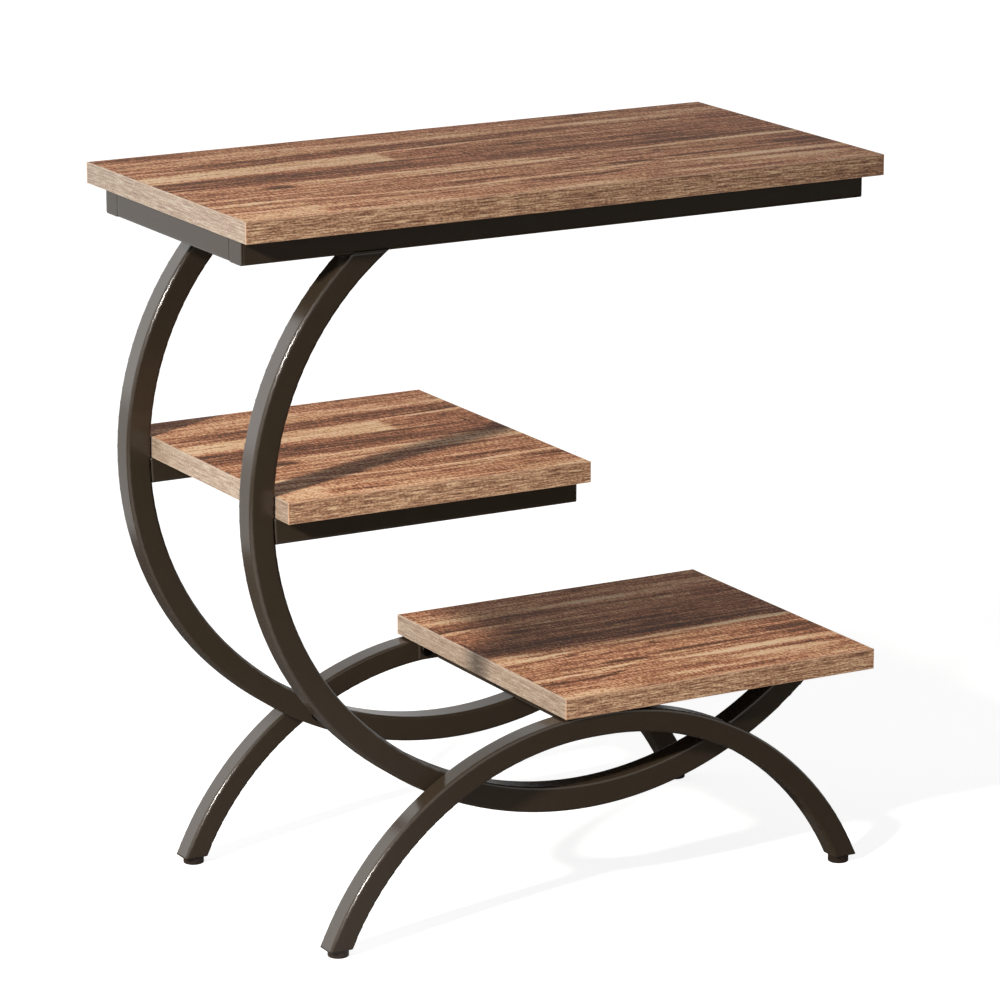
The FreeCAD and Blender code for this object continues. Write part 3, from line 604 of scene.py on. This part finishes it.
# Each band has a name, its browns, the colour of the highlight painted on its corners and the contrast of its
# print.
BANDS = [("walnut_edge_band", LONG_SIDE_BROWNS, "#C69E7E", 1.0),
         ("grey_walnut_edge_band", SHORT_SIDE_SHEEN_BROWNS, "#BBA68E", 0.6)]
for name, print_and_sheen_browns, highlight_tan, contrast in BANDS:
    band, tree, output = new_material(name)
    place = add_node(tree, "ShaderNodeTexCoord")
    axes = add_node(tree, "ShaderNodeSeparateXYZ", {0: place.outputs["Object"]})
    along = add_node(tree, "ShaderNodeMath", {0: axes.outputs["X"], 1: axes.outputs["Y"]}, operation="ADD")
    flat = add_node(tree, "ShaderNodeCombineXYZ", {0: along.outputs[0], 1: axes.outputs["Z"]})
    in_mm = add_node(tree, "ShaderNodeVectorMath", {0: flat.outputs[0], 1: TO_MM}, operation="MULTIPLY")
    tone = MIDDLE_TONE
    for (print_length, print_width), strength in EDGE_PRINTS:
        stretched = add_node(tree, "ShaderNodeMapping", {"Vector": in_mm.outputs[0],
                                                         "Scale": (1 / print_length, 1 / print_width, 1.0)})
        lines = add_node(tree, "ShaderNodeTexNoise",
                         {"Vector": stretched.outputs[0], "Scale": 1.0, "Detail": 1.5, "Distortion": 0.1},
                         noise_dimensions="2D")
        spread = add_node(tree, "ShaderNodeMapRange", {0: lines.outputs["Fac"], 1: NOISE_LOW, 2: NOISE_HIGH,
                                                       3: -strength * contrast, 4: strength * contrast})
        total = add_node(tree, "ShaderNodeMath", {0: spread.outputs[0], 1: tone}, operation="ADD")
        tone = total.outputs[0]
    print_and_sheen_colour = add_node(tree, "ShaderNodeValToRGB", {0: tone})
    set_stops(print_and_sheen_colour.color_ramp, print_and_sheen_browns)
    # The rounded corners get a light tan as a painted highlight.
    band_colour = add_node(tree, "ShaderNodeMix", {0: painted_corner_highlight(tree), 6: print_and_sheen_colour.outputs[0],
                                                   7: linear(highlight_tan)}, data_type="RGBA")
    print_bump = add_node(tree, "ShaderNodeBump", {"Height": tone, "Strength": 0.3,
                                                   "Distance": PRINT_BUMP_DISTANCE})
    band_face = add_node(tree, "ShaderNodeBsdfPrincipled",
                         {"Base Color": band_colour.outputs[2], "Roughness": 0.4, "IOR": 1.5,
                          "Specular IOR Level": 0.5, "Normal": print_bump.outputs[0]})
    tree.links.new(band_face.outputs[0], output.inputs["Surface"])
    edge_bands[name] = band
    print(name, len(tree.nodes), "nodes")

# %% [markdown]
# ## Smooth light on bent tubes
# The powder coat has a satin shine, so a bright line runs along the rounded corners of a bent tube. The
# CAD mesh breaks those corners into small triangles, which would cut the line into dashes. A Bevel node
# evens the surface direction out across the corner, and the helper below does it along the tube. The side
# of a bent tube never faces along the tube, so that part of its direction is an error and is taken away.
# A cut end does face along the tube, so a large part stays. The helper needs the middle of the bend. The
# bows and arches bend about an axis that runs from front to rear.

# %% Take the mesh's steps out of a bend
CUT_END_SHARE = 0.3


def smooth_along_bend(tree, place, direction, bend_middle):
    """Takes the part that points along a bent tube out of the surface direction, if it is small."""
    spoke = add_node(tree, "ShaderNodeVectorMath", {0: place.outputs["Object"], 1: bend_middle},
                     operation="SUBTRACT")
    around = add_node(tree, "ShaderNodeVectorMath", {0: spoke.outputs[0], 1: (0.0, 1.0, 0.0)},
                      operation="CROSS_PRODUCT")
    along = add_node(tree, "ShaderNodeVectorMath", {0: around.outputs[0]}, operation="NORMALIZE")
    error = add_node(tree, "ShaderNodeVectorMath", {0: direction, 1: along.outputs[0]},
                     operation="DOT_PRODUCT")
    size = add_node(tree, "ShaderNodeMath", {0: error.outputs["Value"]}, operation="ABSOLUTE")
    small = add_node(tree, "ShaderNodeMath", {0: size.outputs[0], 1: CUT_END_SHARE}, operation="LESS_THAN")
    taken = add_node(tree, "ShaderNodeMath", {0: error.outputs["Value"], 1: small.outputs[0]},
                     operation="MULTIPLY")
    step = add_node(tree, "ShaderNodeVectorMath", {0: along.outputs[0], "Scale": taken.outputs[0]},
                    operation="SCALE")
    mended = add_node(tree, "ShaderNodeVectorMath", {0: direction, 1: step.outputs[0]},
                      operation="SUBTRACT")
    unit = add_node(tree, "ShaderNodeVectorMath", {0: mended.outputs[0]}, operation="NORMALIZE")
    return unit.outputs[0]


print("a share under", CUT_END_SHARE, "along the tube is taken as an error")

# %% [markdown]
# ## Bronze powder coat
# Powder coat is coloured plastic that is sprayed on as dust and melted in an oven. It flows into a skin
# with a faint orange peel, dimples about a millimetre across and a few hundredths of a millimetre deep.
# This one is a very dark brown and satin. The same coat is made three times: for the straight tubes and
# plates, for the bows and for the arches, because the bends have different middles.

# %% Powder coat materials
ORANGE_PEEL_WIDTH = 1.4 * MM
PEEL_BUMP_DISTANCE = 0.1 * MM
COAT_CLOUDS_PER_METRE = 60.0
COAT_BRONZE = "#32291F"
CLOUD_BRONZE = "#342C22"
COAT_ROUGHNESS = (0.20, 0.22)
CORNER_SMOOTHING = 2.6 * MM
BOW_MIDDLE = Vector((-10.607, 0.0, 379.007)) * MM
ARCH_MIDDLE = Vector((28.5, 0.0, -102.9)) * MM
coats = {}
for name, bend_middle in (("bronze_powder_coat", None), ("bronze_coat_on_bows", BOW_MIDDLE),
                          ("bronze_coat_on_arches", ARCH_MIDDLE)):
    bronze, tree, output = new_material(name)
    place = add_node(tree, "ShaderNodeTexCoord")
    even = add_node(tree, "ShaderNodeBevel", {"Radius": CORNER_SMOOTHING}, samples=16)
    direction = even.outputs[0]
    if bend_middle:
        direction = smooth_along_bend(tree, place, direction, bend_middle)
    peel = add_node(tree, "ShaderNodeTexNoise", {"Vector": place.outputs["Object"],
                                                 "Scale": 1 / ORANGE_PEEL_WIDTH, "Detail": 1.0})
    dust = add_node(tree, "ShaderNodeTexNoise", {"Vector": place.outputs["Object"],
                                                 "Scale": COAT_CLOUDS_PER_METRE, "Detail": 3.0})
    coat_colour = add_node(tree, "ShaderNodeMix", {0: dust.outputs["Fac"], 6: linear(COAT_BRONZE),
                                                   7: linear(CLOUD_BRONZE)}, data_type="RGBA")
    coat_gloss = add_node(tree, "ShaderNodeMapRange", {0: dust.outputs["Fac"], 3: COAT_ROUGHNESS[0],
                                                       4: COAT_ROUGHNESS[1]})
    peel_bump = add_node(tree, "ShaderNodeBump", {"Height": peel.outputs["Fac"], "Strength": 0.08,
                                                  "Distance": PEEL_BUMP_DISTANCE, "Normal": direction})
    coat = add_node(tree, "ShaderNodeBsdfPrincipled",
                    {"Base Color": coat_colour.outputs[2], "Roughness": coat_gloss.outputs[0], "IOR": 1.5,
                     "Normal": peel_bump.outputs[0]})
    tree.links.new(coat.outputs[0], output.inputs["Surface"])
    coats[name] = bronze
    print(name, len(tree.nodes), "nodes")

# %% [markdown]
# ## Fasteners
# The bolts are steel that is blackened in a hot salt bath, which leaves a thin oxide: still a metal, but
# nearly black. Screws, weld nuts and the studs of the feet are zinc plated, which gives a bright grey
# metal with a slight cloudiness from the crystals. Both patterns are finer on real parts, and are drawn
# a little over a millimetre wide, so that they show.

# %% Black oxide and zinc
OXIDE_CLOUDS_PER_METRE = 700.0
OXIDE_BLACK = "#26241F"
OXIDE_GREY = "#34322E"
OXIDE_ROUGHNESS = (0.30, 0.46)
ZINC_CRYSTALS_PER_METRE = 900.0
ZINC_GREY = "#A8ABAF"
ZINC_PALE = "#C3C6C8"
ZINC_ROUGHNESS = (0.25, 0.42)

black_oxide, tree, output = new_material("black_oxide_steel")
place = add_node(tree, "ShaderNodeTexCoord")
clouds = add_node(tree, "ShaderNodeTexNoise", {"Vector": place.outputs["Object"],
                                               "Scale": OXIDE_CLOUDS_PER_METRE, "Detail": 3.0})
oxide_colour = add_node(tree, "ShaderNodeMix", {0: clouds.outputs["Fac"], 6: linear(OXIDE_BLACK),
                                                7: linear(OXIDE_GREY)}, data_type="RGBA")
oxide_gloss = add_node(tree, "ShaderNodeMapRange", {0: clouds.outputs["Fac"], 3: OXIDE_ROUGHNESS[0],
                                                    4: OXIDE_ROUGHNESS[1]})
oxide = add_node(tree, "ShaderNodeBsdfPrincipled", {"Base Color": oxide_colour.outputs[2], "Metallic": 1.0,
                                                    "Roughness": oxide_gloss.outputs[0]})
tree.links.new(oxide.outputs[0], output.inputs["Surface"])

zinc_plate, tree, output = new_material("zinc_plated_steel")
place = add_node(tree, "ShaderNodeTexCoord")
crystals = add_node(tree, "ShaderNodeTexVoronoi", {"Vector": place.outputs["Object"],
                                                   "Scale": ZINC_CRYSTALS_PER_METRE})
zinc_colour = add_node(tree, "ShaderNodeMix", {0: crystals.outputs["Distance"], 6: linear(ZINC_GREY),
                                               7: linear(ZINC_PALE)}, data_type="RGBA")
zinc_gloss = add_node(tree, "ShaderNodeMapRange", {0: crystals.outputs["Distance"], 3: ZINC_ROUGHNESS[0],
                                                   4: ZINC_ROUGHNESS[1]})
zinc = add_node(tree, "ShaderNodeBsdfPrincipled", {"Base Color": zinc_colour.outputs[2], "Metallic": 1.0,
                                                   "Roughness": zinc_gloss.outputs[0]})
tree.links.new(zinc.outputs[0], output.inputs["Surface"])
print("made", black_oxide.name, "and", zinc_plate.name)

# %% [markdown]
# ## Plastic feet and plugs
# The foot pads are moulded nylon, dark brown and smooth, so they glint. The plugs in the legs are
# polyethylene, which is softer and duller. Both take a fine texture from a spark-eroded mould. It is
# finer on real parts, and is drawn just under a millimetre wide, so that it shows: as a faint change of
# colour, and on the pads also as a faint bump.

# %% Plastics
NYLON_GRAINS_PER_METRE = 1600.0
PLUG_GRAINS_PER_METRE = 1200.0
NYLON_BROWN = "#231A15"
NYLON_PALE_BROWN = "#2B211B"
PLUG_BLACK = "#161514"
PLUG_GREY = "#201E1D"
MOULD_BUMP_DISTANCE = 0.1 * MM

foot_nylon, tree, output = new_material("moulded_brown_nylon")
place = add_node(tree, "ShaderNodeTexCoord")
mould = add_node(tree, "ShaderNodeTexNoise", {"Vector": place.outputs["Object"],
                                              "Scale": NYLON_GRAINS_PER_METRE, "Detail": 2.0})
nylon_colour = add_node(tree, "ShaderNodeMix", {0: mould.outputs["Fac"], 6: linear(NYLON_BROWN),
                                                7: linear(NYLON_PALE_BROWN)}, data_type="RGBA")
mould_bump = add_node(tree, "ShaderNodeBump", {"Height": mould.outputs["Fac"], "Strength": 0.1,
                                               "Distance": MOULD_BUMP_DISTANCE})
nylon = add_node(tree, "ShaderNodeBsdfPrincipled",
                 {"Base Color": nylon_colour.outputs[2], "Roughness": 0.24, "IOR": 1.53,
                  "Normal": mould_bump.outputs[0]})
tree.links.new(nylon.outputs[0], output.inputs["Surface"])

plug_plastic, tree, output = new_material("moulded_black_polyethylene")
place = add_node(tree, "ShaderNodeTexCoord")
mould = add_node(tree, "ShaderNodeTexNoise", {"Vector": place.outputs["Object"],
                                              "Scale": PLUG_GRAINS_PER_METRE, "Detail": 2.0})
plug_colour = add_node(tree, "ShaderNodeMix", {0: mould.outputs["Fac"], 6: linear(PLUG_BLACK),
                                               7: linear(PLUG_GREY)}, data_type="RGBA")
plug = add_node(tree, "ShaderNodeBsdfPrincipled", {"Base Color": plug_colour.outputs[2], "Roughness": 0.5,
                                                   "IOR": 1.51})
tree.links.new(plug.outputs[0], output.inputs["Surface"])
print("made", foot_nylon.name, "and", plug_plastic.name)

# %% [markdown]
# ## Dress the CAD parts
# The record says which finish each part has. A dictionary from the record's slot names to the materials
# above dresses all parts in one loop, and no part can be forgotten. Three kinds of parts get a material
# of their own within their slot: the short-side bands with their painted sheen, the bows and the arches.

# %% Give every part its material
FINISHES = {
    "walnut_laminate": walnut,
    "walnut_edge_band": edge_bands["walnut_edge_band"],
    "bronze_powder_coat": coats["bronze_powder_coat"],
    "black_oxide_steel": black_oxide,
    "zinc_plated_steel": zinc_plate,
    "foot_plastic": foot_nylon,
    "plug_plastic": plug_plastic,
}
slot_of = {part["node"]: part["material_slot"] for part in frame["record"]["subparts"]}
for name, part in frame["nodes"].items():
    finish = FINISHES[slot_of[name]]
    if name.endswith(("left_edge", "right_edge")):
        finish = edge_bands["grey_walnut_edge_band"]
    if name.endswith("_bow"):
        finish = coats["bronze_coat_on_bows"]
    if name.endswith("_arch"):
        finish = coats["bronze_coat_on_arches"]
    if not part.material_slots:
        part.data.materials.append(finish)
    for material_slot in part.material_slots:
        material_slot.link = "OBJECT"
        material_slot.material = finish
print("dressed", len(frame["nodes"]), "parts")

# %% [markdown]
# ## Ground welds
# Each bow is welded up under a long rail of the top frame, and their outer faces lie in one plane. The
# rounded lower corner of the rail would leave a small groove there, 2 mm wide. The maker fills it with
# weld and grinds it flush, so the two tubes flow into each other. The filling is what is left of a small
# square bar when a quarter circle is taken out of it. A vertex is spun along the quarter circle, the
# corner of the square is added, the face between them is filled, and the face is pulled along the rail.
# On the left the filling starts where the bow's own rounded corner ends, and on the right it reaches half
# way into that corner.

# %% Fill the grooves where the bows meet the rails
TUBE_CORNER = 2.0 * MM
RAIL_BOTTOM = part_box("front_top_rail")[0].z
BOW_RADIUS = 266.993 * MM
BOW_HALF_TUBE = 11.0 * MM
ARC_STEPS = 8
LEFT_MARGIN = TUBE_CORNER
RIGHT_MARGIN = TUBE_CORNER / 2


def bow_edge_x(radius, z):
    """Where a circle about the bow's middle crosses a height, on the left."""
    return BOW_MIDDLE.x - math.sqrt(radius ** 2 - (z - BOW_MIDDLE.z) ** 2)


def ground_weld(name, face_y, side):
    """Fills the groove under a rail's rounded corner, between the bow's two curved sides."""
    left = bow_edge_x(BOW_RADIUS + BOW_HALF_TUBE, RAIL_BOTTOM) + LEFT_MARGIN
    right = bow_edge_x(BOW_RADIUS - BOW_HALF_TUBE, RAIL_BOTTOM) - RIGHT_MARGIN
    centre = Vector((left, face_y - side * TUBE_CORNER, RAIL_BOTTOM + TUBE_CORNER))
    weld = bmesh.new()
    first = weld.verts.new(centre + Vector((0.0, side * TUBE_CORNER, 0.0)))
    bmesh.ops.spin(weld, geom=[first], cent=centre, axis=(1.0, 0.0, 0.0),
                   angle=-side * math.radians(90.0), steps=ARC_STEPS, use_merge=False)
    corner = weld.verts.new(Vector((left, face_y, RAIL_BOTTOM)))
    weld.verts.ensure_lookup_table()
    profile = weld.faces.new([vertex for vertex in weld.verts if vertex is not corner] + [corner])
    pulled = bmesh.ops.extrude_face_region(weld, geom=[profile])
    moved = [part for part in pulled["geom"] if isinstance(part, bmesh.types.BMVert)]
    bmesh.ops.translate(weld, verts=moved, vec=(right - left, 0.0, 0.0))
    bmesh.ops.recalc_face_normals(weld, faces=weld.faces)
    mesh = bpy.data.meshes.new(name)
    weld.to_mesh(mesh)
    weld.free()
    piece = bpy.data.objects.new(name, mesh)
    bpy.context.scene.collection.objects.link(piece)
    mesh.materials.append(coats["bronze_powder_coat"])
    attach(piece, "table")
    return piece


for name, node, side in (("front_bow_ground_weld", "front_bow", -1.0),
                         ("rear_bow_ground_weld", "rear_bow", 1.0)):
    low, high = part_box(node)
    piece = ground_weld(name, low.y if side < 0 else high.y, side)
    print(piece.name, "is", [round(length / MM, 1) for length in piece.dimensions], "mm")
